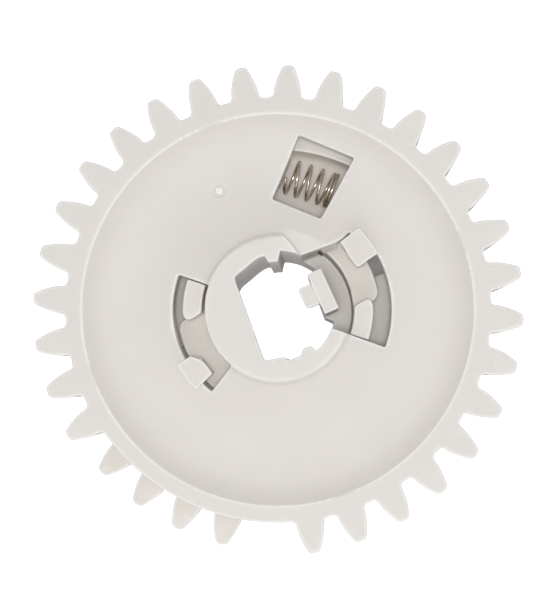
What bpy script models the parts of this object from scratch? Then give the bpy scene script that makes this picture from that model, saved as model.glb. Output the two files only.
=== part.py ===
"""Two-layer trigger gear: a partly toothless spur gear with a second gear turning on its hub.

The front gear carries a long hub with a keyed bore. The rear gear has the same teeth, turns a few
degrees on that hub, and a small compression spring between the two pushes it against its stops.
Two snap hooks on the rear gear reach through arc slots and hold the pair together, and a latch
finger in the hub snaps into the shaft's groove.

Lengths are in millimetres and angles in degrees until they reach Blender. The gear lies flat,
front face up, with its axis on Z and its hub's back end at Z = 0. The bore's flat faces +X.
"""

import math

import bmesh
import bpy
from mathutils import Matrix, Vector

MM = 0.001

# Teeth, the same on both gears
MODULE = 1.0
TOOTH_COUNT = 32
PRESSURE_ANGLE = 20.0
TOOTH_PITCH = 360.0 / TOOTH_COUNT
PITCH_R = MODULE * TOOTH_COUNT / 2
TIP_R = PITCH_R + MODULE
ROOT_R = PITCH_R - 1.25 * MODULE
FRONT_GAP = range(-14, -9)  # numbers of the missing teeth, counted from +X
REAR_GAP = range(-10, -9)

# Heights above the hub's back end
HUB_FRONT = 13.6
FACE_WIDTH = 2.6
LAYER_GAP = 0.3
FRONT_RIM_TOP = 13.2
FRONT_RIM_BOTTOM = FRONT_RIM_TOP - FACE_WIDTH
REAR_RIM_TOP = FRONT_RIM_BOTTOM - LAYER_GAP
REAR_RIM_BOTTOM = REAR_RIM_TOP - FACE_WIDTH
WEB_BOTTOM = FRONT_RIM_BOTTOM + 0.3
RIDGE_TOP = REAR_RIM_TOP
CHANNEL_FLOOR = 8.4
REAR_WEB_BOTTOM = 7.2
SLEEVE_BOTTOM = 3.6
CAM_BOTTOM = 4.6
PAST = 1.2  # how far a cutter runs past the face it opens

# Radii of the front gear
RIM_INNER_R = 13.54
WEB_OUTER_R = 13.9  # inside the rim, where the two overlap
HUB_R = 5.08
BORE_R = 3.70
WIDE_BORE_R = 4.02
RIB_R = 3.25
BORE_FLAT_X = -2.07
LIP_THICKNESS = 1.0

# Front gear's web, from the hub's foot to the rim: radius and height of its dished face
DISH = (
    (HUB_R, 13.12),
    (5.7, 12.9),
    (7.0, 12.46),
    (8.5, 12.12),
    (10.0, 11.98),
    (11.4, 12.02),
    (12.4, 12.22),
    (13.1, 12.58),
    (13.6, 12.96),
    (WEB_OUTER_R, 13.1),
)

# Arc slots: the right one opens into the bore, the left one is its copy at 180 degrees
SLOT_START = -39.3
RIGHT_SLOT_END = 27.4
LEFT_SLOT_END = 31.2
SLOT_OUTER_R = 7.33
WIDE_SLOT_OUTER_R = 7.92
WIDE_SLOT_END = 10.0
SLOT_INNER_R = HUB_R - 0.05

# Recess round the latch finger
RECESS_Y = 2.95
RECESS_FLOOR = 6.6
RECESS_R = HUB_R + 0.22
FINGER_INNER_X = 2.85
FINGER_OUTER_X = 3.9
FINGER_HALF_WIDTH = 1.45
NUB_TIP_X = 1.83
NUB_HALF_WIDTH = 0.9
NUB_HEIGHT = 1.5
ROOT_GAP = 0.1  # between a flexing finger and the gear it grows from

# Rear gear
SLEEVE_INNER_R = 5.28
SLEEVE_OUTER_R = 6.95
CHANNEL_OUTER_R = 11.4
REAR_WEB_OUTER_R = 12.0
CAM_INNER_R = 9.6
CAM_OUTER_R = 10.8
STOP_START = SLOT_START + 0.7
STOP_TOP = 12.2
HOOK_START = 7.4
HOOK_END = 24.2
HEAD_START = 8.2
HEAD_END = 25.7
HOOK_INNER_R = 6.16
HEAD_OUTER_R = 7.95
HEAD_BOTTOM = 12.6
HEAD_TOP = 13.4

# Spring, in its own frame: along = to the right-hand end, out = away from the gear's axis
SPRING_TURN = -42.5
SPRING_OUT = 9.2
SPRING_HEIGHT = 9.9
SPRING_LEFT = -3.25
SPRING_RIGHT = 0.46
SPRING_OUTER_R = 1.35
WIRE_R = 0.14
WINDOW_LEFT = -3.33
WINDOW_NEAR = 6.97
WINDOW_FAR = 11.83
WINDOW_NEAR_RIGHT = 0.34
WINDOW_FAR_RIGHT = 0.86

ROUND_STEPS = 96


def make_collection(name):
    made = bpy.data.collections.new(name)
    bpy.context.scene.collection.children.link(made)
    return made


def clear_scene():
    for obj in list(bpy.data.objects):
        bpy.data.objects.remove(obj, do_unlink=True)


def make_material(name, colour, roughness, metallic):
    material = bpy.data.materials.new(name)
    material.use_nodes = True
    shader = material.node_tree.nodes["Principled BSDF"]
    shader.inputs["Base Color"].default_value = (*colour, 1.0)
    shader.inputs["Roughness"].default_value = roughness
    shader.inputs["Metallic"].default_value = metallic
    return material


# Points in the plane


def polar(radius, angle):
    turn = math.radians(angle)
    return (radius * math.cos(turn), radius * math.sin(turn))


def arc(radius, start, end, step=3.75):
    """Points along a circle about the gear's axis, both ends included."""
    count = max(1, math.ceil(abs(end - start) / step))
    return [polar(radius, start + (end - start) * i / count) for i in range(count + 1)]


def from_spring(along, out):
    """A point in the spring's frame, as X and Y."""
    turn = math.radians(SPRING_TURN)
    x = along * math.cos(turn) - out * math.sin(turn)
    y = along * math.sin(turn) + out * math.cos(turn)
    return (x, y)


def involute(angle):
    return math.tan(angle) - angle


def tooth_half_angle(radius):
    """Half the angle that a tooth fills at this radius, in degrees."""
    pressure = math.radians(PRESSURE_ANGLE)
    base_r = PITCH_R * math.cos(pressure)
    at_radius = math.acos(min(1.0, base_r / radius))
    half = math.pi / (2 * TOOTH_COUNT) + involute(pressure) - involute(at_radius)
    return math.degrees(half)


def toothed_outline(gap):
    """A gear's outline, anticlockwise, with plain root circle where the teeth in gap are missing."""
    base_r = PITCH_R * math.cos(math.radians(PRESSURE_ANGLE))
    flank = [ROOT_R] + [base_r + (TIP_R - base_r) * t for t in (0, 0.25, 0.5, 0.75, 0.95, 1)]
    missing = [number % TOOTH_COUNT for number in gap]
    points = []
    for number in range(TOOTH_COUNT):
        middle = number * TOOTH_PITCH
        if number in missing:
            points += arc(ROOT_R, middle - TOOTH_PITCH / 2, middle + TOOTH_PITCH / 3)
            continue
        half = [tooth_half_angle(radius) for radius in flank]
        half[-1] -= 0.25  # the tip's corners are eased
        points += [polar(r, middle - a) for r, a in zip(flank, half)]
        points += [polar(r, middle + a) for r, a in reversed(list(zip(flank, half)))]
        points.append(polar(ROOT_R, middle + TOOTH_PITCH / 2))
    return points


def bore_outline(with_flat):
    """The bore with its four ribs, two of them straight, closed to a flat on the key's side or left round."""
    key_corner = BORE_FLAT_X + 0.08
    upper = [(2.9, 1.5)] + arc(WIDE_BORE_R, 30.0, 67.4)
    upper += arc(RIB_R, 69.4, 81.4)
    upper += arc(BORE_R + 0.05, 83.5, 91.0)
    upper += [(-0.55, 3.6), (key_corner, 3.08)]
    lower = [(key_corner, -3.08), (-0.8, -3.24), (-0.44, -3.6)]
    lower += arc(BORE_R - 0.1, -91.0, -83.0)
    lower += [(0.75, -3.17), (1.3, -3.2)]
    lower += arc(WIDE_BORE_R - 0.05, -66.0, -30.0) + [(2.9, -1.5)]
    if with_flat:
        return upper + [(BORE_FLAT_X, 2.9), (BORE_FLAT_X, -2.9)] + lower
    corner = math.degrees(math.acos(BORE_FLAT_X / BORE_R))
    return upper + arc(BORE_R, corner, 360.0 - corner) + lower


def right_slot_outline():
    inside = polar(2.6, SLOT_START)
    points = [inside]
    points += arc(WIDE_SLOT_OUTER_R, SLOT_START, WIDE_SLOT_END)
    points += arc(SLOT_OUTER_R, WIDE_SLOT_END, RIGHT_SLOT_END)
    points.append((RECESS_Y / math.tan(math.radians(RIGHT_SLOT_END)), RECESS_Y))
    points.append((2.0, RECESS_Y))
    return points


def left_slot_outline():
    outer = arc(SLOT_OUTER_R, 180 + SLOT_START, 180 + LEFT_SLOT_END)
    inner = arc(SLOT_INNER_R, 180 + LEFT_SLOT_END, 180 + SLOT_START)
    return outer + inner


def recess_outline():
    end = math.degrees(math.asin(RECESS_Y / RECESS_R))
    return [polar(2.6, SLOT_START)] + arc(RECESS_R, SLOT_START, end) + [(2.0, RECESS_Y)]


def sector_outline(inner_r, outer_r, start, end):
    return arc(outer_r, start, end) + arc(inner_r, end, start)


def window_outline():
    corners = (
        (WINDOW_LEFT, WINDOW_NEAR),
        (WINDOW_NEAR_RIGHT, WINDOW_NEAR),
        (WINDOW_FAR_RIGHT, WINDOW_FAR),
        (WINDOW_LEFT, WINDOW_FAR),
    )
    return [from_spring(along, out) for along, out in corners]


# Solids


def add_mesh_object(name, mesh, collection):
    obj = bpy.data.objects.new(name, mesh)
    collection.objects.link(obj)
    return obj


def as_helper(obj):
    obj.hide_render = True
    obj.display_type = "WIRE"
    return obj


def prism(name, outlines, bottom, top, collection, frame=None):
    """A flat outline, with any inner ones as holes, extruded from bottom to top."""
    curve = bpy.data.curves.new(name, "CURVE")
    curve.dimensions = "2D"
    curve.fill_mode = "BOTH"
    curve.extrude = (top - bottom) / 2 * MM
    for points in outlines:
        spline = curve.splines.new("POLY")
        spline.points.add(len(points) - 1)
        for point, (x, y) in zip(spline.points, points):
            point.co = (x * MM, y * MM, 0.0, 1.0)
        spline.use_cyclic_u = True
    outline = bpy.data.objects.new(name + "_outline", curve)
    outline.matrix_world = (frame or Matrix()) @ Matrix.Translation((0, 0, (bottom + top) / 2 * MM))
    collection.objects.link(outline)
    graph = bpy.context.evaluated_depsgraph_get()
    mesh = bpy.data.meshes.new_from_object(outline.evaluated_get(graph))
    made = bmesh.new()
    made.from_mesh(mesh)
    bmesh.ops.remove_doubles(made, verts=made.verts, dist=1e-7)
    bmesh.ops.recalc_face_normals(made, faces=made.faces)
    made.to_mesh(mesh)
    made.free()
    mesh.name = name
    obj = add_mesh_object(name, mesh, collection)
    obj.matrix_world = outline.matrix_world.copy()
    bpy.data.objects.remove(outline, do_unlink=True)
    return obj


def turned(name, profile, closed, collection):
    """A profile of (radius, height) points spun about the gear's axis."""
    mesh = bpy.data.meshes.new(name)
    count = len(profile)
    edges = [(i, i + 1) for i in range(count - 1)]
    if closed:
        edges.append((count - 1, 0))
    mesh.from_pydata([(r * MM, 0.0, z * MM) for r, z in profile], edges, [])
    obj = add_mesh_object(name, mesh, collection)
    spin = obj.modifiers.new("Spin", "SCREW")
    spin.axis = "Z"
    spin.angle = 2 * math.pi
    spin.steps = ROUND_STEPS
    spin.render_steps = ROUND_STEPS
    spin.use_merge_vertices = True
    spin.merge_threshold = 1e-7
    return obj


def block(name, size, centre, turn, collection):
    """A box of this size, turned about Z."""
    made = bmesh.new()
    bmesh.ops.create_cube(made, size=1.0)
    bmesh.ops.scale(made, vec=Vector(size) * MM, verts=made.verts)
    mesh = bpy.data.meshes.new(name)
    made.to_mesh(mesh)
    made.free()
    obj = add_mesh_object(name, mesh, collection)
    obj.matrix_world = Matrix.Translation(Vector(centre) * MM) @ Matrix.Rotation(
        math.radians(turn), 4, "Z"
    )
    return obj


def combine(obj, operation, helper):
    step = obj.modifiers.new(helper.name, "BOOLEAN")
    step.operation = operation
    step.solver = "EXACT"
    step.object = as_helper(helper)


def cut(obj, helper):
    combine(obj, "DIFFERENCE", helper)


def join(obj, helper):
    combine(obj, "UNION", helper)


def finish(obj, material):
    obj.data.materials.clear()
    obj.data.materials.append(material)
    if obj.data.polygons:
        obj.data.shade_smooth()
        obj.data.set_sharp_from_angle(angle=math.radians(30))


# Parts


def make_front_gear(parts, helpers, material):
    """Hub and dished web in one turned shape, with the toothed rim joined on."""
    profile = [(0.0, HUB_FRONT), (HUB_R, HUB_FRONT), *DISH]
    profile += [(WEB_OUTER_R, WEB_BOTTOM), (HUB_R, WEB_BOTTOM), (HUB_R, 0.0), (0.0, 0.0)]
    gear = turned("front_gear", profile, False, parts)
    teeth = toothed_outline(FRONT_GAP)
    rim = arc(RIM_INNER_R, 0.0, 360.0)[:-1]
    join(gear, prism("front_rim", [teeth, rim], FRONT_RIM_BOTTOM, FRONT_RIM_TOP, helpers))

    seat_middle = (WINDOW_LEFT - 0.4, SPRING_OUT)
    seat_top = WEB_BOTTOM + 0.2
    seat_bottom = CHANNEL_FLOOR + 0.5
    seat_centre = (*from_spring(*seat_middle), (seat_top + seat_bottom) / 2)
    seat_size = (0.8, 2.2, seat_top - seat_bottom)
    join(gear, block("spring_seat", seat_size, seat_centre, SPRING_TURN, helpers))

    lip_bottom = HUB_FRONT - LIP_THICKNESS
    above = HUB_FRONT + PAST
    cut(gear, prism("bore", [bore_outline(False)], -PAST, lip_bottom, helpers))
    cut(gear, prism("bore_front", [bore_outline(True)], lip_bottom - 0.2, above, helpers))
    cut(gear, prism("finger_recess", [recess_outline()], RECESS_FLOOR, WEB_BOTTOM, helpers))
    slot_floor = WEB_BOTTOM - 0.6
    cut(gear, prism("right_slot", [right_slot_outline()], slot_floor, above, helpers))
    cut(gear, prism("left_slot", [left_slot_outline()], slot_floor, above, helpers))
    boss_end = [(2.8, 2.5), (5.6, 2.5), (5.6, 5.4), (1.89, 5.4)]
    cut(gear, prism("boss_end", [boss_end], DISH[0][1] - 0.1, above, helpers))
    cut(gear, prism("spring_window", [window_outline()], WEB_BOTTOM - 0.2, above, helpers))
    finish(gear, material)


def stop_outline(turn):
    """A stop block, square where it rests on the slot's end and slanted at its free end."""
    outer = arc(6.65, turn + STOP_START, turn - 12.5)
    inner = arc(5.33, turn - 17.0, turn + STOP_START)
    return outer + inner


def make_rear_gear(parts, helpers, material):
    profile = [
        (SLEEVE_INNER_R, RIDGE_TOP),
        (SLEEVE_OUTER_R, RIDGE_TOP),
        (SLEEVE_OUTER_R, CHANNEL_FLOOR),
        (REAR_WEB_OUTER_R, CHANNEL_FLOOR),
        (REAR_WEB_OUTER_R, REAR_WEB_BOTTOM),
        (CAM_OUTER_R, REAR_WEB_BOTTOM),
        (CAM_OUTER_R, CAM_BOTTOM),
        (CAM_INNER_R, CAM_BOTTOM),
        (CAM_INNER_R, REAR_WEB_BOTTOM),
        (SLEEVE_OUTER_R, REAR_WEB_BOTTOM),
        (SLEEVE_OUTER_R, SLEEVE_BOTTOM),
        (SLEEVE_INNER_R, SLEEVE_BOTTOM),
    ]
    gear = turned("rear_gear", profile, True, parts)
    teeth = toothed_outline(REAR_GAP)
    channel = arc(CHANNEL_OUTER_R, 0.0, 360.0)[:-1]
    join(gear, prism("rear_rim", [teeth, channel], REAR_RIM_BOTTOM, REAR_RIM_TOP, helpers))

    for number, turn in enumerate((0.0, 180.0)):
        side = ("right", "left")[number]
        join(gear, prism(f"{side}_stop", [stop_outline(turn)], RIDGE_TOP - 0.4, STOP_TOP, helpers))
        hole = sector_outline(SLEEVE_OUTER_R + 0.04, 8.05, turn + 1.2, turn + 33.0)
        cut(gear, prism(f"{side}_core_hole", [hole], REAR_WEB_BOTTOM - PAST, 9.6, helpers))

    tab_middle = (SPRING_RIGHT + 0.13 + 0.4, SPRING_OUT)
    tab_centre = (*from_spring(*tab_middle), (CHANNEL_FLOOR - 0.2 + 10.6) / 2)
    tab_size = (0.8, 2.7, 10.6 - CHANNEL_FLOOR + 0.2)
    join(gear, block("spring_tab", tab_size, tab_centre, SPRING_TURN, helpers))

    rib_top = REAR_WEB_BOTTOM + 0.3
    rib_bottom = CAM_BOTTOM + 0.8
    rib_size = (CAM_INNER_R - SLEEVE_OUTER_R + 0.4, 0.9, rib_top - rib_bottom)
    for turn in (60.0, 105.0, 150.0, 240.0, 285.0, 330.0):
        middle = polar((CAM_INNER_R + SLEEVE_OUTER_R) / 2, turn)
        centre = (*middle, (rib_top + rib_bottom) / 2)
        join(gear, block(f"rib_{turn:.0f}", rib_size, centre, turn, helpers))
    lug = [polar(10.6, 132.0), polar(12.7, 150.0), polar(10.6, 151.0)]
    join(gear, prism("stop_lug", [lug], CAM_BOTTOM + 0.3, REAR_RIM_BOTTOM + 0.2, helpers))
    finish(gear, material)


def make_snap_hook(name, turn, parts, helpers, material):
    """A leg that stands on the rear gear's sleeve, with a head that overhangs the slot's edge."""
    bottom = RIDGE_TOP + ROOT_GAP
    leg_outline = sector_outline(HOOK_INNER_R, SLEEVE_OUTER_R - 0.02, turn + HOOK_START, turn + HOOK_END)
    hook = prism(name, [leg_outline], bottom, HEAD_BOTTOM + 0.3, parts)
    head_profile = [
        (6.34, HEAD_TOP),
        (7.2, HEAD_TOP),
        (HEAD_OUTER_R, HEAD_TOP - 0.45),
        (HEAD_OUTER_R, HEAD_BOTTOM),
        (6.34, HEAD_BOTTOM),
    ]
    head = turned(name + "_head", head_profile, True, helpers)
    span = sector_outline(5.5, 9.0, turn + HEAD_START, turn + HEAD_END)
    combine(head, "INTERSECT", prism(name + "_head_span", [span], 11.0, 15.0, helpers))
    join(hook, head)
    finish(hook, material)


def make_latch_finger(parts, helpers, material):
    """A thin upright finger in the hub, with a nub that catches the shaft's groove."""
    bottom = RECESS_FLOOR + ROOT_GAP
    depth = FINGER_OUTER_X - FINGER_INNER_X
    size = (depth, 2 * FINGER_HALF_WIDTH, HUB_FRONT - 0.1 - bottom)
    centre = (FINGER_INNER_X + depth / 2, 0.0, bottom + size[2] / 2)
    finger = block("latch_finger", size, centre, 0.0, parts)
    upright = Matrix.Rotation(math.radians(90), 4, "X")
    top = HUB_FRONT - 0.2
    nub = [
        (FINGER_INNER_X + 0.3, top),
        (NUB_TIP_X, top),
        (NUB_TIP_X, top - NUB_HEIGHT / 2),
        (FINGER_INNER_X + 0.3, top - NUB_HEIGHT),
    ]
    join(finger, prism("nub", [nub], -NUB_HALF_WIDTH, NUB_HALF_WIDTH, helpers, upright))
    finish(finger, material)


def make_spring(parts, material):
    """Open coils between two closed ends, wound about the spring's own axis."""
    coil_r = SPRING_OUTER_R - WIRE_R
    length = SPRING_RIGHT - SPRING_LEFT - 2 * WIRE_R
    closed_turns = 1.0
    open_turns = 3.5
    closed_rise = 2.3 * WIRE_R
    steps_per_turn = 16
    turns = 2 * closed_turns + open_turns
    curve = bpy.data.curves.new("spring_wire", "CURVE")
    curve.dimensions = "3D"
    curve.bevel_depth = WIRE_R * MM
    curve.bevel_resolution = 2
    curve.use_fill_caps = True
    spline = curve.splines.new("POLY")
    count = round(turns * steps_per_turn) + 1
    spline.points.add(count - 1)
    for i, point in enumerate(spline.points):
        turn = i / steps_per_turn
        if turn < closed_turns:
            rise = closed_rise * turn / closed_turns
        elif turn < closed_turns + open_turns:
            share = (turn - closed_turns) / open_turns
            rise = closed_rise + (length - 2 * closed_rise) * share
        else:
            rise = length - closed_rise * (turns - turn) / closed_turns
        angle = 2 * math.pi * turn
        out = coil_r * math.cos(angle) * MM
        up = coil_r * math.sin(angle) * MM
        point.co = (rise * MM, out, up, 1.0)
    spring = bpy.data.objects.new("compression_spring", curve)
    start = (*from_spring(SPRING_LEFT + WIRE_R, SPRING_OUT), SPRING_HEIGHT)
    spring.matrix_world = Matrix.Translation(Vector(start) * MM) @ Matrix.Rotation(
        math.radians(SPRING_TURN), 4, "Z"
    )
    curve.materials.append(material)
    parts.objects.link(spring)


def main():
    clear_scene()
    parts = make_collection("trigger_gear")
    helpers = make_collection("cutters")
    front_white = make_material("front_acetal", (0.86, 0.85, 0.82), 0.42, 0.0)
    rear_white = make_material("rear_acetal", (0.80, 0.79, 0.76), 0.45, 0.0)
    steel = make_material("spring_steel", (0.46, 0.38, 0.28), 0.28, 1.0)
    make_front_gear(parts, helpers, front_white)
    make_rear_gear(parts, helpers, rear_white)
    make_snap_hook("right_snap_hook", 0.0, parts, helpers, rear_white)
    make_snap_hook("left_snap_hook", 180.0, parts, helpers, rear_white)
    make_latch_finger(parts, helpers, front_white)
    make_spring(parts, steel)


main()
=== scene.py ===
"""Looks of the two-layer trigger gear: fine mouldings, spring, materials, light and camera.

Pieces are modelled in millimetres and scaled to metres when they are done. Angles are in degrees,
apart from the spring's two, which math.radians turns into radians where they are named.
Each moulding is cut from plain solids, remeshed on a fine grid and smoothed, which rounds its edges
and fills its corners as a mould does.
"""

import math

import bmesh
import bpy
import numpy as np
from mathutils import Matrix, Vector


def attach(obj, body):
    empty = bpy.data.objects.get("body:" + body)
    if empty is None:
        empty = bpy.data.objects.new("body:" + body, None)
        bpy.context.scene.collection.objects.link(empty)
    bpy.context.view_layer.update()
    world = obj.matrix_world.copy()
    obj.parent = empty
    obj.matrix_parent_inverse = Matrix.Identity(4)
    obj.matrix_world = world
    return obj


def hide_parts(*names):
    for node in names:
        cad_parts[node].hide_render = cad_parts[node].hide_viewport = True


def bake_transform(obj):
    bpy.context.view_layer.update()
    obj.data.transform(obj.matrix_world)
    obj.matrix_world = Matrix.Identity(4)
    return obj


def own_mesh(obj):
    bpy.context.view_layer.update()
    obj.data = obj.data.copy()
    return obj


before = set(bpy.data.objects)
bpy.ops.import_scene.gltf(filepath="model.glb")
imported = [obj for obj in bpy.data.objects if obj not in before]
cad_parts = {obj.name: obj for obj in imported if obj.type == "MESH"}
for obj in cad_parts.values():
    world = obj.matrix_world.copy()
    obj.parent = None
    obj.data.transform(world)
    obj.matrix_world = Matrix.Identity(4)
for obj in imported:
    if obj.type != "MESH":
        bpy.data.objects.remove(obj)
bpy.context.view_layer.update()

MM = 0.001

# Teeth, the same on both gears
MODULE = 1.0
TOOTH_COUNT = 32
PRESSURE_ANGLE = 20.0
TOOTH_PITCH = 360.0 / TOOTH_COUNT
PITCH_R = MODULE * TOOTH_COUNT / 2
TIP_R = PITCH_R + MODULE
ROOT_R = PITCH_R - 1.25 * MODULE
ROOT_FILLET = 0.34
TIP_ROUND = 0.22
FRONT_GAP = range(-14, -9)
REAR_GAP = range(-10, -9)

# Heights above the hub's back end
HUB_FRONT = 13.6
FRONT_RIM_TOP = 13.2
FRONT_RIM_BOTTOM = 10.6
REAR_RIM_TOP = 10.3
REAR_RIM_BOTTOM = 7.7
WEB_BOTTOM = 10.9
SKIRT_BOTTOM = 10.42
CHANNEL_FLOOR = 8.4
REAR_WEB_BOTTOM = 7.2
SLEEVE_BOTTOM = 3.6
CAM_BOTTOM = 4.6
PAST = 1.2  # how far a cutter runs past the surface that it opens

# Front gear
RIM_INNER_R = 13.54
WEB_OUTER_R = 13.9
HUB_R = 5.08
BORE_R = 3.70
WIDE_BORE_R = 4.02
RIB_R = 3.25
BORE_FLAT_X = -2.07
LIP_THICKNESS = 1.0
# The web's front face, as (radius, height) from the hub's foot to the rim
DISH = (
    (HUB_R + 0.22, 13.1),
    (5.75, 12.9),
    (7.0, 12.46),
    (8.5, 12.12),
    (10.0, 12.0),
    (11.2, 12.08),
    (12.3, 12.3),
    (13.05, 12.68),
    (13.58, 13.13),
    (WEB_OUTER_R, 13.22),
)
BOSS_END = ((2.9, 2.5), (5.6, 2.5), (5.6, 5.4), (1.2, 5.4), (1.7, 5.0), (2.0, 4.85), (2.17, 4.6))
BOSS_END_ROUND = 0.3
GATE_AT = (-1.03, 9.24)
GATE_RING_R = 0.52
GATE_RING_FLOOR = 11.93
GATE_NUB_R = 0.27
GATE_NUB_TOP = 12.1

# Arc slots: the right one opens into the bore, the left one is its copy at 180 degrees
SLOT_START = -39.3
RIGHT_SLOT_END = 27.4
LEFT_SLOT_END = 31.2
SLOT_OUTER_R = 7.33
WIDE_SLOT_OUTER_R = 7.92
WIDE_SLOT_END = 10.0
SLOT_INNER_R = HUB_R - 0.05

# Recess round the latch finger
RECESS_Y = 2.95
RECESS_FLOOR = 6.6
RECESS_R = HUB_R + 0.22
FINGER_INNER_X = 2.85
FINGER_OUTER_X = 3.9
FINGER_HALF_WIDTH = 1.45
NUB_TIP_X = 1.83
NUB_HALF_WIDTH = 0.9
NUB_HEIGHT = 1.5
NUB_ROUND = 0.35
FINGER_LEAN = 4.5

# Rear gear
SLEEVE_INNER_R = 5.28
SLEEVE_OUTER_R = 6.95
CHANNEL_OUTER_R = 11.4
# The fillet at the foot of the channel's outer wall, as (radius, height above the channel's floor)
CHANNEL_FILLET = (
    (10.9, -0.2),
    (10.9, 0.0),
    (11.15, 0.08),
    (11.3, 0.3),
    (11.36, 0.7),
    (11.6, 0.7),
    (11.6, -0.2),
)
REAR_WEB_OUTER_R = 12.0
CAM_INNER_R = 9.6
CAM_OUTER_R = 10.8
STOP_START = SLOT_START + 0.7
STOP_TOP = 12.2
RIDGE_OUTER_R = 7.15
STOP_SLEEVE_R = 6.65
HOOK_END = 24.2
HEAD_OUTER_R = 7.95
HEAD_BOTTOM = 12.88
HEAD_TOP = 13.4
# The heads' inner edges, as (radius, degrees on from the hook's own turn): the two heads differ a little
RIGHT_HEAD_EDGE = (
    (6.33, 27.0),
    (6.24, 22.3),
    (6.14, 17.0),
    (6.12, 13.0),
    (6.2, 8.4),
    (6.28, 7.6),
    (6.4, 7.5),
    (7.06, 8.4),
)
LEFT_HEAD_EDGE = (
    (7.08, 24.8),
    (6.45, 25.0),
    (6.32, 24.2),
    (6.26, 20.0),
    (6.27, 16.0),
    (6.43, 12.5),
    (6.84, 8.6),
)

# Spring, in its own frame: along = to the right-hand end, out = away from the gear's axis
SPRING_TURN = -42.5
SPRING_OUT = 9.2
SPRING_HEIGHT = 9.9
SPRING_LEFT = -3.25
SPRING_RIGHT = 0.46
SPRING_OUTER_R = 1.35
WIRE_R = 0.105
SPRING_LEAN = math.radians(4.0)
COIL_START = math.radians(101.0)
OPEN_TURNS = 3.75
CLOSED_TURNS = 1.6
STEPS_PER_TURN = 40
SPRING_BEND_R = 22.0
WINDOW_LEFT = -3.33
WINDOW_NEAR = 6.97
WINDOW_FAR = 11.83
WINDOW_NEAR_RIGHT = 0.34
WINDOW_FAR_RIGHT = 0.86

# The floor's ring under the gear, which gets no glow and a darker grey: a painted shadow of the gear
PAINTED_SHADOW_INNER_R = 4.4
PAINTED_SHADOW_OUTER_R = 12.0

# The picture's right and up directions along the floor, and the camera, in millimetres
PICTURE_RIGHT = Vector((0.9403, -0.3404, 0.0))
PICTURE_UP = Vector((0.3404, 0.9403, 0.0))
CAMERA_EYE = Vector((1.79, -5.39, 138.2))
CAMERA_TARGET = Vector((-0.14, 0.71, 13.2))

# Fineness of the mouldings
VOXEL = 0.075
SMOOTHING = 4
EDGE_BEND_LOW = 0.5  # outward curvature, per millimetre, where the painted edge highlight starts
EDGE_BEND_HIGH = 2.2
ROUND_STEPS = 192


# Points in the plane


def polar(radius, angle):
    turn = math.radians(angle)
    return (radius * math.cos(turn), radius * math.sin(turn))


def arc(radius, start, end, step=1.5):
    count = max(1, math.ceil(abs(end - start) / step))
    return [polar(radius, start + (end - start) * i / count) for i in range(count + 1)]


def mirrored(points):
    return [(x, -y) for x, y in reversed(points)]


def rounded(start, corner, end, count=5):
    """A corner eased between two points on its sides."""
    points = []
    for i in range(count + 1):
        t = i / count
        weights = ((1 - t) ** 2, 2 * t * (1 - t), t**2)
        pulls = tuple(zip(weights, (start, corner, end)))
        points.append(tuple(sum(weight * place[axis] for weight, place in pulls) for axis in (0, 1)))
    return points


def eased(corners, radius):
    """A polygon with every corner rounded by about this radius."""
    points = []
    count = len(corners)
    for i, corner in enumerate(corners):
        here = Vector(corner)
        before = Vector(corners[i - 1]) - here
        after = Vector(corners[(i + 1) % count]) - here
        start = here + before.normalized() * min(radius, before.length * 0.45)
        end = here + after.normalized() * min(radius, after.length * 0.45)
        points += rounded(start, here, end)
    return points


def from_spring(along, out):
    """A point in the spring's frame, as X and Y."""
    turn = math.radians(SPRING_TURN)
    x = along * math.cos(turn) - out * math.sin(turn)
    y = along * math.sin(turn) + out * math.cos(turn)
    return (x, y)


def involute(angle):
    return math.tan(angle) - angle


def tooth_half_angle(radius):
    """Half the angle that a tooth fills at this radius, in degrees."""
    pressure = math.radians(PRESSURE_ANGLE)
    base_r = PITCH_R * math.cos(pressure)
    at_radius = math.acos(min(1.0, base_r / radius))
    half = math.pi / (2 * TOOTH_COUNT) + involute(pressure) - involute(at_radius)
    return math.degrees(half)


def half_tooth(middle):
    """The side of a tooth from its root to its tip, with a root fillet and a rounded tip."""
    root_angle = tooth_half_angle(ROOT_R)
    tip_angle = tooth_half_angle(TIP_R)
    fillet_turn = math.degrees(ROOT_FILLET / ROOT_R)
    round_turn = math.degrees(TIP_ROUND / TIP_R)
    foot = polar(ROOT_R, middle - root_angle - fillet_turn)
    inner = polar(ROOT_R, middle - root_angle)
    low_r = ROOT_R + ROOT_FILLET
    high_r = TIP_R - TIP_ROUND
    low = polar(low_r, middle - tooth_half_angle(low_r))
    high = polar(high_r, middle - tooth_half_angle(high_r))
    corner = polar(TIP_R, middle - tip_angle)
    top = polar(TIP_R, middle - tip_angle + round_turn)
    flank = [low_r + (high_r - low_r) * i / 8 for i in range(1, 8)]
    side = [polar(r, middle - tooth_half_angle(r)) for r in flank]
    return rounded(foot, inner, low) + side + rounded(high, corner, top)


def toothed_outline(gap):
    missing = [number % TOOTH_COUNT for number in gap]
    points = []
    for number in range(TOOTH_COUNT):
        middle = number * TOOTH_PITCH
        if number in missing:
            points += arc(ROOT_R, middle - TOOTH_PITCH / 2, middle + TOOTH_PITCH / 2)[:-1]
            continue
        side = half_tooth(0.0)
        other = mirrored(side)
        turn = Matrix.Rotation(math.radians(middle), 2)
        points.append(polar(ROOT_R, middle - TOOTH_PITCH / 2))
        points += [tuple(turn @ Vector(p)) for p in side + other]
    return points


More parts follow.
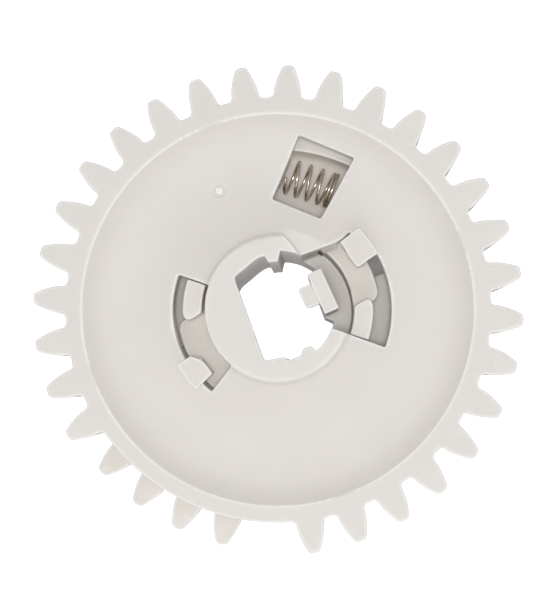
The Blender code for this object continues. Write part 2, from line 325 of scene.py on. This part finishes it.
def bore_outline(with_flat):
    """The bore and its ribs, closed to a flat on the key's side or left round there."""
    corner = math.degrees(math.acos(BORE_FLAT_X / BORE_R))
    upper = [(2.9, 1.5)] + arc(WIDE_BORE_R, 30.0, 67.4)
    upper += arc(RIB_R, 69.4, 81.4)
    upper += arc(BORE_R + 0.05, 83.5, 91.0)
    upper += [(-0.55, 3.6), (BORE_FLAT_X + 0.08, 3.08)]
    lower = [(BORE_FLAT_X + 0.08, -3.08), (-0.85, -3.24), (-0.72, -3.28), (-0.5, -3.56), (-0.38, -3.63)]
    lower += arc(BORE_R - 0.1, -91.0, -83.0)
    lower += [(0.66, -3.24), (0.8, -3.17), (1.18, -3.17), (1.36, -3.24), (1.5, -3.56)]
    lower += arc(WIDE_BORE_R - 0.05, -66.0, -30.0) + [(2.9, -1.5)]
    if with_flat:
        return upper + [(BORE_FLAT_X, 2.9), (BORE_FLAT_X, -2.9)] + lower
    return upper + arc(BORE_R, corner, 360.0 - corner) + lower


def right_slot_outline():
    points = [polar(2.6, SLOT_START)]
    points += arc(WIDE_SLOT_OUTER_R, SLOT_START, WIDE_SLOT_END)
    points += arc(SLOT_OUTER_R, WIDE_SLOT_END, RIGHT_SLOT_END)
    corner = (RECESS_Y / math.tan(math.radians(RIGHT_SLOT_END)), RECESS_Y)
    points += rounded(polar(7.0, RIGHT_SLOT_END), corner, (4.9, RECESS_Y))
    points.append((2.0, RECESS_Y))
    return points


def left_slot_outline():
    outer = arc(SLOT_OUTER_R, 180 + SLOT_START, 180 + LEFT_SLOT_END)
    inner = arc(SLOT_INNER_R, 180 + LEFT_SLOT_END, 180 + SLOT_START)
    return outer + inner


def recess_outline():
    end = math.degrees(math.asin(RECESS_Y / RECESS_R))
    return [polar(2.6, SLOT_START)] + arc(RECESS_R, SLOT_START, end) + [(2.0, RECESS_Y)]


def sector_outline(inner_r, outer_r, start, end):
    return arc(outer_r, start, end) + arc(inner_r, end, start)


def window_outline():
    corners = (
        (WINDOW_LEFT, WINDOW_NEAR),
        (WINDOW_NEAR_RIGHT, WINDOW_NEAR),
        (WINDOW_FAR_RIGHT, WINDOW_FAR),
        (WINDOW_LEFT, WINDOW_FAR),
    )
    return eased([from_spring(along, out) for along, out in corners], 0.12)


def smooth_profile(points, steps=6):
    """A smooth curve through (radius, height) points, outward from the hub."""
    curve = []
    last = len(points) - 1
    for i in range(last):
        before, here = points[max(i - 1, 0)], points[i]
        there, after = points[i + 1], points[min(i + 2, last)]
        for k in range(steps):
            t = k / steps
            curve.append(
                tuple(
                    0.5
                    * (
                        2 * here[a]
                        + (there[a] - before[a]) * t
                        + (2 * before[a] - 5 * here[a] + 4 * there[a] - after[a]) * t * t
                        + (3 * here[a] - before[a] - 3 * there[a] + after[a]) * t**3
                    )
                    for a in (0, 1)
                )
            )
    return curve + [points[last]]


# Solids


def new_object(name, mesh):
    obj = bpy.data.objects.new(name, mesh)
    bpy.context.scene.collection.objects.link(obj)
    return obj


def settled(obj):
    """The object with its modifiers applied and removed."""
    graph = bpy.context.evaluated_depsgraph_get()
    mesh = bpy.data.meshes.new_from_object(obj.evaluated_get(graph))
    obj.modifiers.clear()
    obj.data = mesh
    return obj


def prism(name, outline, bottom, top, place=None):
    """A flat outline extruded from bottom to top."""
    made = bmesh.new()
    low = [made.verts.new((x, y, bottom)) for x, y in outline]
    high = [made.verts.new((x, y, top)) for x, y in outline]
    made.faces.new(list(reversed(low)))
    made.faces.new(high)
    for i in range(len(outline)):
        made.faces.new((low[i - 1], low[i], high[i], high[i - 1]))
    bmesh.ops.remove_doubles(made, verts=made.verts, dist=1e-5)
    bmesh.ops.recalc_face_normals(made, faces=made.faces)
    mesh = bpy.data.meshes.new(name)
    made.to_mesh(mesh)
    made.free()
    if place:
        mesh.transform(place)
    return new_object(name, mesh)


def turned(name, profile, closed):
    """A profile of (radius, height) points spun about the gear's axis."""
    mesh = bpy.data.meshes.new(name)
    count = len(profile)
    edges = [(i, i + 1) for i in range(count - 1)]
    if closed:
        edges.append((count - 1, 0))
    mesh.from_pydata([(r, 0.0, z) for r, z in profile], edges, [])
    obj = new_object(name, mesh)
    spin = obj.modifiers.new("Spin", "SCREW")
    spin.axis = "Z"
    spin.angle = 2 * math.pi
    spin.steps = ROUND_STEPS
    spin.render_steps = ROUND_STEPS
    spin.use_merge_vertices = True
    spin.merge_threshold = 1e-4
    return settled(obj)


def block(name, size, centre, turn):
    x, y, z = (length / 2 for length in size)
    place = Matrix.Translation(centre) @ Matrix.Rotation(math.radians(turn), 4, "Z")
    return prism(name, [(-x, -y), (x, -y), (x, y), (-x, y)], -z, z, place)


def cut(obj, *cutters, operation="DIFFERENCE"):
    for cutter in cutters:
        step = obj.modifiers.new(cutter.name, "BOOLEAN")
        step.operation = operation
        step.solver = "EXACT"
        step.object = cutter
        settled(obj)
        bpy.data.objects.remove(cutter, do_unlink=True)
    return obj


def joined(name, solids):
    """The solids as one mesh, still overlapping: the remesh makes one skin of them."""
    made = bmesh.new()
    for solid in solids:
        made.from_mesh(solid.data)
        bpy.data.objects.remove(solid, do_unlink=True)
    mesh = bpy.data.meshes.new(name)
    made.to_mesh(mesh)
    made.free()
    return new_object(name, mesh)


def mark_edges(mesh):
    """Stores how strongly the skin curves outward, from 0 on flats to 1 on edges, as the mask of the
    painted highlight that the material lays on edges.
    """
    count = len(mesh.vertices)
    places = np.empty(count * 3)
    normals = np.empty(count * 3)
    ends = np.empty(len(mesh.edges) * 2, int)
    mesh.vertices.foreach_get("co", places)
    mesh.vertices.foreach_get("normal", normals)
    mesh.edges.foreach_get("vertices", ends)
    places = places.reshape(-1, 3)
    normals = normals.reshape(-1, 3)
    a, b = ends.reshape(-1, 2).T
    span = places[b] - places[a]
    square = np.maximum((span**2).sum(1), 1e-9)
    turn = ((normals[b] - normals[a]) * span).sum(1) / square
    bend = np.zeros(count)
    links = np.zeros(count)
    for end in (a, b):
        np.add.at(bend, end, turn)
        np.add.at(links, end, 1)
    bend /= np.maximum(links, 1)
    for _ in range(2):
        near = np.zeros(count)
        np.add.at(near, a, bend[b])
        np.add.at(near, b, bend[a])
        bend = 0.5 * bend + 0.5 * near / np.maximum(links, 1)
    light = np.clip((bend - EDGE_BEND_LOW) / (EDGE_BEND_HIGH - EDGE_BEND_LOW), 0, 1)
    layer = mesh.attributes.new("painted_edge_highlight", "FLOAT", "POINT")
    layer.data.foreach_set("value", light.astype(np.float32))


def moulded(obj, material, keep, voxel=VOXEL, smoothing=SMOOTHING):
    """One skin over the solids, with softly rounded edges, scaled to metres."""
    skin = obj.modifiers.new("Skin", "REMESH")
    skin.mode = "VOXEL"
    skin.voxel_size = voxel
    settled(obj)
    soften = obj.modifiers.new("Soften", "SMOOTH")
    soften.factor = 0.5
    soften.iterations = smoothing
    thin = obj.modifiers.new("Thin", "DECIMATE")
    thin.ratio = keep
    settled(obj)
    mark_edges(obj.data)
    obj.data.transform(Matrix.Scale(MM, 4))
    obj.data.shade_smooth()
    obj.data.materials.clear()
    obj.data.materials.append(material)
    return obj


# Pieces


def add_slot_skirts(web):
    """Low walls under the web round the arc slots, which close the gap above the rear gear."""
    for side, turn, end in (("right", 0.0, RIGHT_SLOT_END), ("left", 180.0, LEFT_SLOT_END)):
        skirt_r = (WIDE_SLOT_OUTER_R if side == "right" else SLOT_OUTER_R) + 0.35
        skirt = sector_outline(HUB_R - 0.2, skirt_r, turn + SLOT_START - 2.5, turn + end + 2.5)
        cut(web, prism(side + "_slot_skirt", skirt, SKIRT_BOTTOM, WEB_BOTTOM + 0.2), operation="UNION")


def make_front_gear(material):
    profile = [(0.0, HUB_FRONT), (HUB_R - 0.24, HUB_FRONT), (HUB_R - 0.08, HUB_FRONT - 0.07)]
    profile += [(HUB_R + 0.02, HUB_FRONT - 0.21), (HUB_R + 0.1, HUB_FRONT - 0.37)]
    profile += smooth_profile(DISH)
    profile += [(WEB_OUTER_R, WEB_BOTTOM), (HUB_R, WEB_BOTTOM), (HUB_R, 0.0), (0.0, 0.0)]
    web = turned("web", profile, False)
    lip_bottom = HUB_FRONT - LIP_THICKNESS
    above = HUB_FRONT + PAST
    slot_floor = WEB_BOTTOM - 0.6
    gate = Matrix.Translation((*GATE_AT, 0.0))
    gate_ring = prism("gate_ring", arc(GATE_RING_R, 0, 360, 15)[:-1], GATE_RING_FLOOR, above, gate)
    gate_nub = prism("gate_nub", arc(GATE_NUB_R, 0, 360, 15)[:-1], 11.6, GATE_NUB_TOP, gate)
    add_slot_skirts(web)
    cut(
        web,
        prism("bore", bore_outline(False), -PAST, lip_bottom),
        prism("bore_front", bore_outline(True), lip_bottom - 0.2, above),
        prism("finger_recess", recess_outline(), RECESS_FLOOR, WEB_BOTTOM),
        prism("right_slot", right_slot_outline(), slot_floor, above),
        prism("left_slot", left_slot_outline(), slot_floor, above),
        prism("boss_end", eased(BOSS_END, BOSS_END_ROUND), DISH[0][1] - 0.1, above),
        prism("spring_window", window_outline(), WEB_BOTTOM - 0.2, above),
        gate_ring,
    )
    rim = prism("rim", toothed_outline(FRONT_GAP), FRONT_RIM_BOTTOM, FRONT_RIM_TOP)
    cut(rim, prism("rim_hole", arc(RIM_INNER_R, 0, 360)[:-1], 5.0, 20.0))
    seat_top = WEB_BOTTOM + 0.2
    seat_bottom = CHANNEL_FLOOR + 0.5
    seat_at = (*from_spring(WINDOW_LEFT - 0.4, SPRING_OUT), (seat_top + seat_bottom) / 2)
    seat = block("spring_seat", (0.8, 2.2, seat_top - seat_bottom), seat_at, SPRING_TURN)
    ramp_top = WEB_BOTTOM + 1.5
    slant = [
        (RECESS_Y + 0.3, ramp_top),
        (RECESS_Y, ramp_top),
        (RECESS_Y - 0.32, WEB_BOTTOM),
        (RECESS_Y + 0.3, WEB_BOTTOM),
    ]
    along_x = Matrix(((0, 0, 1, 0), (1, 0, 0, 0), (0, 1, 0, 0), (0, 0, 0, 1)))
    ramp = prism("ramp", slant, 4.3, 5.4, along_x)
    flange = sector_outline(HUB_R - 0.3, RECESS_R - 0.06, SLOT_START, 33.5)
    floor = prism("recess_flange", flange, RECESS_FLOOR - 0.5, RECESS_FLOOR)
    gear = joined("front_gear_moulding", [web, rim, seat, gate_nub, ramp, floor])
    moulded(gear, material, 0.15)
    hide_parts("front_gear")
    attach(gear, "front_gear_body")


def stop_outline(turn):
    """A stop block: square at the slot's end, slanted with a rounded corner at its free end."""
    outer = arc(6.65, turn + STOP_START, turn - 18.0)
    round_end = ((6.63, 16.2), (6.55, 14.6), (6.38, 13.5), (6.2, 13.3))
    free = [polar(radius, turn - back) for radius, back in round_end]
    inner = arc(5.33, turn - 18.5, turn + STOP_START)
    return outer + free + [polar(5.65, turn - 15.6), polar(5.4, turn - 17.2)] + inner


def ridge_outline(turn):
    """The raised stretch of the sleeve that carries a hook, from the stop's free end past the hook."""
    outer = arc(RIDGE_OUTER_R, turn - 9.5, turn + 34.0)
    start = [polar(6.6, turn - 15.0), polar(6.85, turn - 13.5), polar(7.05, turn - 11.8)]
    return start + outer + arc(5.6, turn + 34.0, turn - 15.0)


def make_rear_gear(material):
    top = REAR_RIM_TOP
    profile = [
        (SLEEVE_INNER_R, top),
        (STOP_SLEEVE_R, top),
        (STOP_SLEEVE_R, CHANNEL_FLOOR),
        (REAR_WEB_OUTER_R, CHANNEL_FLOOR),
        (REAR_WEB_OUTER_R, REAR_WEB_BOTTOM),
        (CAM_OUTER_R, REAR_WEB_BOTTOM),
        (CAM_OUTER_R, CAM_BOTTOM),
        (CAM_INNER_R, CAM_BOTTOM),
        (CAM_INNER_R, REAR_WEB_BOTTOM),
        (SLEEVE_OUTER_R, REAR_WEB_BOTTOM),
        (SLEEVE_OUTER_R, SLEEVE_BOTTOM),
        (SLEEVE_INNER_R, SLEEVE_BOTTOM),
    ]
    web = turned("rear_web", profile, True)
    solids = [web]
    for side, turn in (("right", 0.0), ("left", 180.0)):
        hole = sector_outline(RIDGE_OUTER_R - 0.03, 8.15, turn + 0.2, turn + 33.0)
        cut(web, prism(side + "_core_hole", hole, REAR_WEB_BOTTOM - PAST, 9.6))
        solids.append(prism(side + "_ridge", ridge_outline(turn), REAR_WEB_BOTTOM + 0.1, top))
        solids.append(prism(side + "_stop", stop_outline(turn), top - 0.4, STOP_TOP))
    snug = sector_outline(HUB_R + 0.05, SLEEVE_INNER_R + 0.3, 180 - 18.0, 180 + 40.0)
    solids.append(prism("left_ridge_lip", snug, top - 0.8, top))
    rim = prism("rear_rim", toothed_outline(REAR_GAP), REAR_RIM_BOTTOM, top)
    solids.append(cut(rim, prism("channel", arc(CHANNEL_OUTER_R, 0, 360)[:-1], 5.0, 20.0)))
    solids.append(turned("channel_fillet", [(r, CHANNEL_FLOOR + rise) for r, rise in CHANNEL_FILLET], True))

    tab_at = (*from_spring(SPRING_RIGHT + 0.53, SPRING_OUT), (CHANNEL_FLOOR - 0.2 + 10.6) / 2)
    tab_size = (0.8, 2.7, 10.6 - CHANNEL_FLOOR + 0.2)
    solids.append(block("spring_tab", tab_size, tab_at, SPRING_TURN))
    rib_top = REAR_WEB_BOTTOM + 0.3
    rib_bottom = CAM_BOTTOM + 0.8
    rib_size = (CAM_INNER_R - SLEEVE_OUTER_R + 0.4, 0.9, rib_top - rib_bottom)
    for turn in (60.0, 105.0, 150.0, 240.0, 285.0, 330.0):
        middle = polar((CAM_INNER_R + SLEEVE_OUTER_R) / 2, turn)
        solids.append(block("rib", rib_size, (*middle, (rib_top + rib_bottom) / 2), turn))
    lug = [polar(10.6, 132.0), polar(12.7, 150.0), polar(10.6, 151.0)]
    solids.append(prism("stop_lug", lug, CAM_BOTTOM + 0.3, REAR_RIM_BOTTOM + 0.2))
    gear = joined("rear_gear_moulding", solids)
    moulded(gear, material, 0.14)
    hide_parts("rear_gear")
    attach(gear, "rear_gear_body")


def head_outline(side, turn):
    """A head seen from above: its outer arc, in steps of one degree, then its inner edge."""
    outer = tuple((HEAD_OUTER_R, 9.0 + i) for i in range(17))
    inner = RIGHT_HEAD_EDGE if side == "right" else LEFT_HEAD_EDGE
    return [polar(radius, turn + on) for radius, on in outer + inner]


def make_snap_hook(side, turn, material):
    leg_start = 7.8 if side == "right" else 12.5
    leg_outline = sector_outline(6.3, SLEEVE_OUTER_R - 0.02, turn + leg_start, turn + HOOK_END)
    leg = prism("leg", leg_outline, REAR_RIM_TOP - 0.12, HEAD_BOTTOM + 0.3)
    head = prism("head", head_outline(side, turn), HEAD_BOTTOM, HEAD_TOP)
    slope = [(7.2, HEAD_TOP), (7.2, 14.0), (8.6, 14.0), (8.6, HEAD_TOP - 0.84)]
    cut(head, turned("slope", list(reversed(slope)), True))
    name = side + "_snap_hook"
    hook = joined(name + "_moulding", [leg, head])
    moulded(hook, material, 0.5, voxel=VOXEL * 0.6, smoothing=5)
    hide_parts(name)
    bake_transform(hook)


def make_latch_finger(material):
    top = HUB_FRONT - 0.1
    depth = FINGER_OUTER_X - FINGER_INNER_X
    bottom = RECESS_FLOOR - 0.1
    centre = Vector((FINGER_INNER_X + depth / 2, 0.08, (top + bottom) / 2))
    body = block("body", (depth, 2 * FINGER_HALF_WIDTH + 0.1, top - bottom), centre, FINGER_LEAN)
    lean = Matrix.Translation(centre) @ Matrix.Rotation(math.radians(FINGER_LEAN), 4, "Z")
    upright = lean @ Matrix.Translation(-centre) @ Matrix.Rotation(math.radians(90), 4, "X")
    nub = [
        (FINGER_INNER_X + 0.3, top - 0.1),
        (NUB_TIP_X, top - 0.1),
        (NUB_TIP_X, top - 0.1 - NUB_HEIGHT / 2),
        (FINGER_INNER_X + 0.3, top - 0.1 - NUB_HEIGHT),
    ]
    tip = prism("nub", nub, -NUB_HALF_WIDTH, NUB_HALF_WIDTH - 0.2, upright)
    near, far = NUB_TIP_X - centre.x, FINGER_INNER_X + 0.3 - centre.x
    low, high = 0.2 - NUB_HALF_WIDTH, NUB_HALF_WIDTH
    plan = eased([(near, low), (far, low), (far, high), (near, high)], NUB_ROUND)
    cut(tip, prism("nub_plan", plan, -6.0, 6.0, lean), operation="INTERSECT")
    finger = joined("latch_finger_moulding", [body, tip])
    moulded(finger, material, 0.5, voxel=VOXEL * 0.6, smoothing=5)
    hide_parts("latch_finger")
    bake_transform(finger)


def make_spring(material):
    coil_r = SPRING_OUTER_R - WIRE_R - 0.03
    length = SPRING_RIGHT - SPRING_LEFT - 2 * WIRE_R
    closed_rise = 2.2 * WIRE_R * CLOSED_TURNS
    turns = OPEN_TURNS + CLOSED_TURNS
    curve = bpy.data.curves.new("spring_wire", "CURVE")
    curve.dimensions = "3D"
    curve.bevel_depth = WIRE_R
    curve.bevel_resolution = 5
    curve.use_fill_caps = True
    spline = curve.splines.new("POLY")
    count = round(turns * STEPS_PER_TURN) + 1
    spline.points.add(count - 1)
    for i, point in enumerate(spline.points):
        turn = i / STEPS_PER_TURN
        if turn < OPEN_TURNS:
            rise = (length - closed_rise) * turn / OPEN_TURNS
        else:
            rise = length - closed_rise * (turns - turn) / CLOSED_TURNS
        angle = 2 * math.pi * turn + COIL_START
        out = coil_r * math.cos(angle)
        middle = rise - length / 2
        lean = SPRING_LEAN - middle / SPRING_BEND_R
        along = length / 2 + middle - out * math.sin(lean)
        point.co = (along, out * math.cos(lean) + middle * SPRING_LEAN, coil_r * math.sin(angle), 1.0)
    coil = bpy.data.objects.new("coil", curve)
    bpy.context.scene.collection.objects.link(coil)
    graph = bpy.context.evaluated_depsgraph_get()
    mesh = bpy.data.meshes.new_from_object(coil.evaluated_get(graph))
    bpy.data.objects.remove(coil, do_unlink=True)
    start = (*from_spring(SPRING_LEFT + WIRE_R, SPRING_OUT), SPRING_HEIGHT)
    place = Matrix.Translation(start) @ Matrix.Rotation(math.radians(SPRING_TURN), 4, "Z")
    mesh.transform(Matrix.Scale(MM, 4) @ place)
    made = bmesh.new()
    made.from_mesh(mesh)
    bmesh.ops.remove_doubles(made, verts=made.verts, dist=1e-7)
    made.to_mesh(mesh)
    made.free()
    spring = new_object("spring_coil", mesh)
    mesh.shade_smooth()
    mesh.materials.clear()
    mesh.materials.append(material)
    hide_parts("compression_spring")
    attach(spring, "front_gear_body")
    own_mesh(spring)


# Materials


def node(tree, kind, **values):
    made = tree.nodes.new(kind)
    for name, value in values.items():
        setattr(made, name, value)
    return made


def make_acetal(name, light, dark, roughness):
    """Milky moulded plastic: soft cloudy whites, a satin skin, a very fine grain, and a painted highlight
    that pales the colour on outward-curved edges.
    """
    material = bpy.data.materials.new(name)
    material.use_nodes = True
    tree = material.node_tree
    shader = tree.nodes["Principled BSDF"]
    shader.inputs["Subsurface Weight"].default_value = 0.35
    shader.inputs["Subsurface Radius"].default_value = (1.0, 0.9, 0.8)
    shader.inputs["Subsurface Scale"].default_value = 0.0012
    shader.inputs["IOR"].default_value = 1.48
    shader.inputs["Specular IOR Level"].default_value = 0.35
    place = node(tree, "ShaderNodeTexCoord")
    clouds = node(tree, "ShaderNodeTexNoise")
    clouds.inputs["Scale"].default_value = 260.0
    clouds.inputs["Detail"].default_value = 4.0
    tint = node(tree, "ShaderNodeMix", data_type="RGBA")
    tint.inputs[6].default_value = (*dark, 1.0)
    tint.inputs[7].default_value = (*light, 1.0)
    sheen = node(tree, "ShaderNodeMapRange")
    sheen.inputs["To Min"].default_value = roughness - 0.06
    sheen.inputs["To Max"].default_value = roughness + 0.06
    grain = node(tree, "ShaderNodeTexNoise")
    grain.inputs["Scale"].default_value = 5200.0
    grain.inputs["Detail"].default_value = 2.0
    bump = node(tree, "ShaderNodeBump")
    bump.inputs["Strength"].default_value = 0.25
    bump.inputs["Distance"].default_value = 0.000012
    # Painted highlight: the base colour is paled towards near-white where the skin curves outward, standing
    # in for light caught by rounded edges.
    edges = node(tree, "ShaderNodeAttribute", attribute_name="painted_edge_highlight")
    pale = node(tree, "ShaderNodeMix", data_type="RGBA")
    pale.inputs[7].default_value = (0.99, 0.96, 0.92, 1.0)
    links = tree.links
    links.new(place.outputs["Object"], clouds.inputs["Vector"])
    links.new(place.outputs["Object"], grain.inputs["Vector"])
    links.new(clouds.outputs["Fac"], tint.inputs[0])
    links.new(tint.outputs[2], pale.inputs[6])
    links.new(edges.outputs["Fac"], pale.inputs[0])
    links.new(pale.outputs[2], shader.inputs["Base Color"])
    links.new(grain.outputs["Fac"], sheen.inputs["Value"])
    links.new(sheen.outputs["Result"], shader.inputs["Roughness"])
    links.new(grain.outputs["Fac"], bump.inputs["Height"])
    links.new(bump.outputs["Normal"], shader.inputs["Normal"])
    return material


def make_spring_steel():
    material = bpy.data.materials.new("spring_steel_looks")
    material.use_nodes = True
    tree = material.node_tree
    shader = tree.nodes["Principled BSDF"]
    shader.inputs["Metallic"].default_value = 1.0
    place = node(tree, "ShaderNodeTexCoord")
    stain = node(tree, "ShaderNodeTexNoise")
    stain.inputs["Scale"].default_value = 1500.0
    stain.inputs["Detail"].default_value = 3.0
    tint = node(tree, "ShaderNodeMix", data_type="RGBA")
    tint.inputs[6].default_value = (0.5, 0.41, 0.31, 1.0)
    tint.inputs[7].default_value = (0.86, 0.8, 0.7, 1.0)
    sheen = node(tree, "ShaderNodeMapRange")
    sheen.inputs["To Min"].default_value = 0.16
    sheen.inputs["To Max"].default_value = 0.34
    links = tree.links
    links.new(place.outputs["Object"], stain.inputs["Vector"])
    links.new(stain.outputs["Fac"], tint.inputs[0])
    links.new(tint.outputs[2], shader.inputs["Base Color"])
    links.new(stain.outputs["Fac"], sheen.inputs["Value"])
    links.new(sheen.outputs["Result"], shader.inputs["Roughness"])
    return material


# Studio


def make_camera():
    data = bpy.data.cameras.new("camera")
    data.sensor_fit = "HORIZONTAL"
    data.sensor_width = 36.0
    data.lens = 119.8
    data.clip_start = 0.005
    data.clip_end = 10.0
    obj = bpy.data.objects.new("camera", data)
    bpy.context.scene.collection.objects.link(obj)
    eye = CAMERA_EYE * MM
    target = CAMERA_TARGET * MM
    back = (eye - target).normalized()
    right = PICTURE_UP.cross(back).normalized()
    up = back.cross(right)
    turn = Matrix((right, up, back)).transposed().to_4x4()
    obj.matrix_world = Matrix.Translation(eye) @ turn
    bpy.context.scene.camera = obj


def make_disc(name, inner_r, outer_r, height, shade, glow):
    """A flat ring of stage floor, or a disc where inner_r is 0."""
    made = bmesh.new()
    outer = [made.verts.new((x * MM, y * MM, height * MM)) for x, y in arc(outer_r, 0, 360, 3)[:-1]]
    if inner_r:
        inner = [made.verts.new((x * MM, y * MM, height * MM)) for x, y in arc(inner_r, 0, 360, 3)[:-1]]
        for i in range(len(outer)):
            made.faces.new((inner[i - 1], outer[i - 1], outer[i], inner[i]))
    else:
        made.faces.new(outer)
    mesh = bpy.data.meshes.new(name)
    made.to_mesh(mesh)
    made.free()
    material = bpy.data.materials.new(name)
    material.use_nodes = True
    shader = material.node_tree.nodes["Principled BSDF"]
    shader.inputs["Base Color"].default_value = (shade, shade, shade, 1)
    shader.inputs["Roughness"].default_value = 0.9
    shader.inputs["Emission Color"].default_value = (1, 1, 1, 1)
    shader.inputs["Emission Strength"].default_value = glow
    mesh.materials.append(material)
    disc = new_object(name, mesh)
    return disc


def make_floor():
    """A pale floor with an even white glow that doesn't tint the gear, and under the gear a darker ring
    without glow, a painted shadow.
    """
    # Painted shadow: the disc under the gear is grey 0.55 with no glow, darkening the floor seen under the
    # teeth and through the holes.
    make_disc("floor_painted_shadow", 0.0, PAINTED_SHADOW_OUTER_R, 0.0, 0.55, 0.0)
    for disc in (
        make_disc("floor", PAINTED_SHADOW_OUTER_R, 1000.0, 0.0, 0.9, 1.0),
        make_disc("floor_in_bore", 0.0, PAINTED_SHADOW_INNER_R, 0.02, 0.9, 1.0),
    ):
        disc.visible_diffuse = False


def in_picture(right, up, height):
    """A place given by the picture's right and up directions and a height above the floor."""
    return PICTURE_RIGHT * right + PICTURE_UP * up + Vector((0.0, 0.0, height))


def make_light(name, energy, size, place):
    """A square soft light that faces the gear."""
    data = bpy.data.lights.new(name, "AREA")
    data.energy = energy
    data.size = size
    lamp = bpy.data.objects.new(name, data)
    bpy.context.scene.collection.objects.link(lamp)
    lamp.location = place
    facing = Vector((0, 0, 0.01)) - lamp.location
    lamp.rotation_euler = facing.to_track_quat("-Z", "Y").to_euler()


def make_lights():
    world = bpy.data.worlds.new("studio")
    bpy.context.scene.world = world
    world.use_nodes = True
    world.node_tree.nodes["Background"].inputs["Color"].default_value = (1, 1, 1, 1)
    world.node_tree.nodes["Background"].inputs["Strength"].default_value = 0.42
    make_light("front", 0.149, 0.03, in_picture(0.004, -0.009, 0.2))
    make_light("key", 0.055, 0.12, in_picture(0.02, -0.16, 0.16))


def main():
    bpy.context.scene.view_settings.view_transform = "Standard"
    make_camera()
    front_white = make_acetal("front_acetal_looks", (0.83, 0.793, 0.756), (0.79, 0.753, 0.716), 0.55)
    rear_white = make_acetal("rear_acetal_looks", (0.82, 0.78, 0.73), (0.78, 0.74, 0.69), 0.58)
    make_front_gear(front_white)
    make_rear_gear(rear_white)
    make_snap_hook("right", 0.0, rear_white)
    make_snap_hook("left", 180.0, rear_white)
    make_latch_finger(front_white)
    make_spring(make_spring_steel())
    make_floor()
    make_lights()


main()
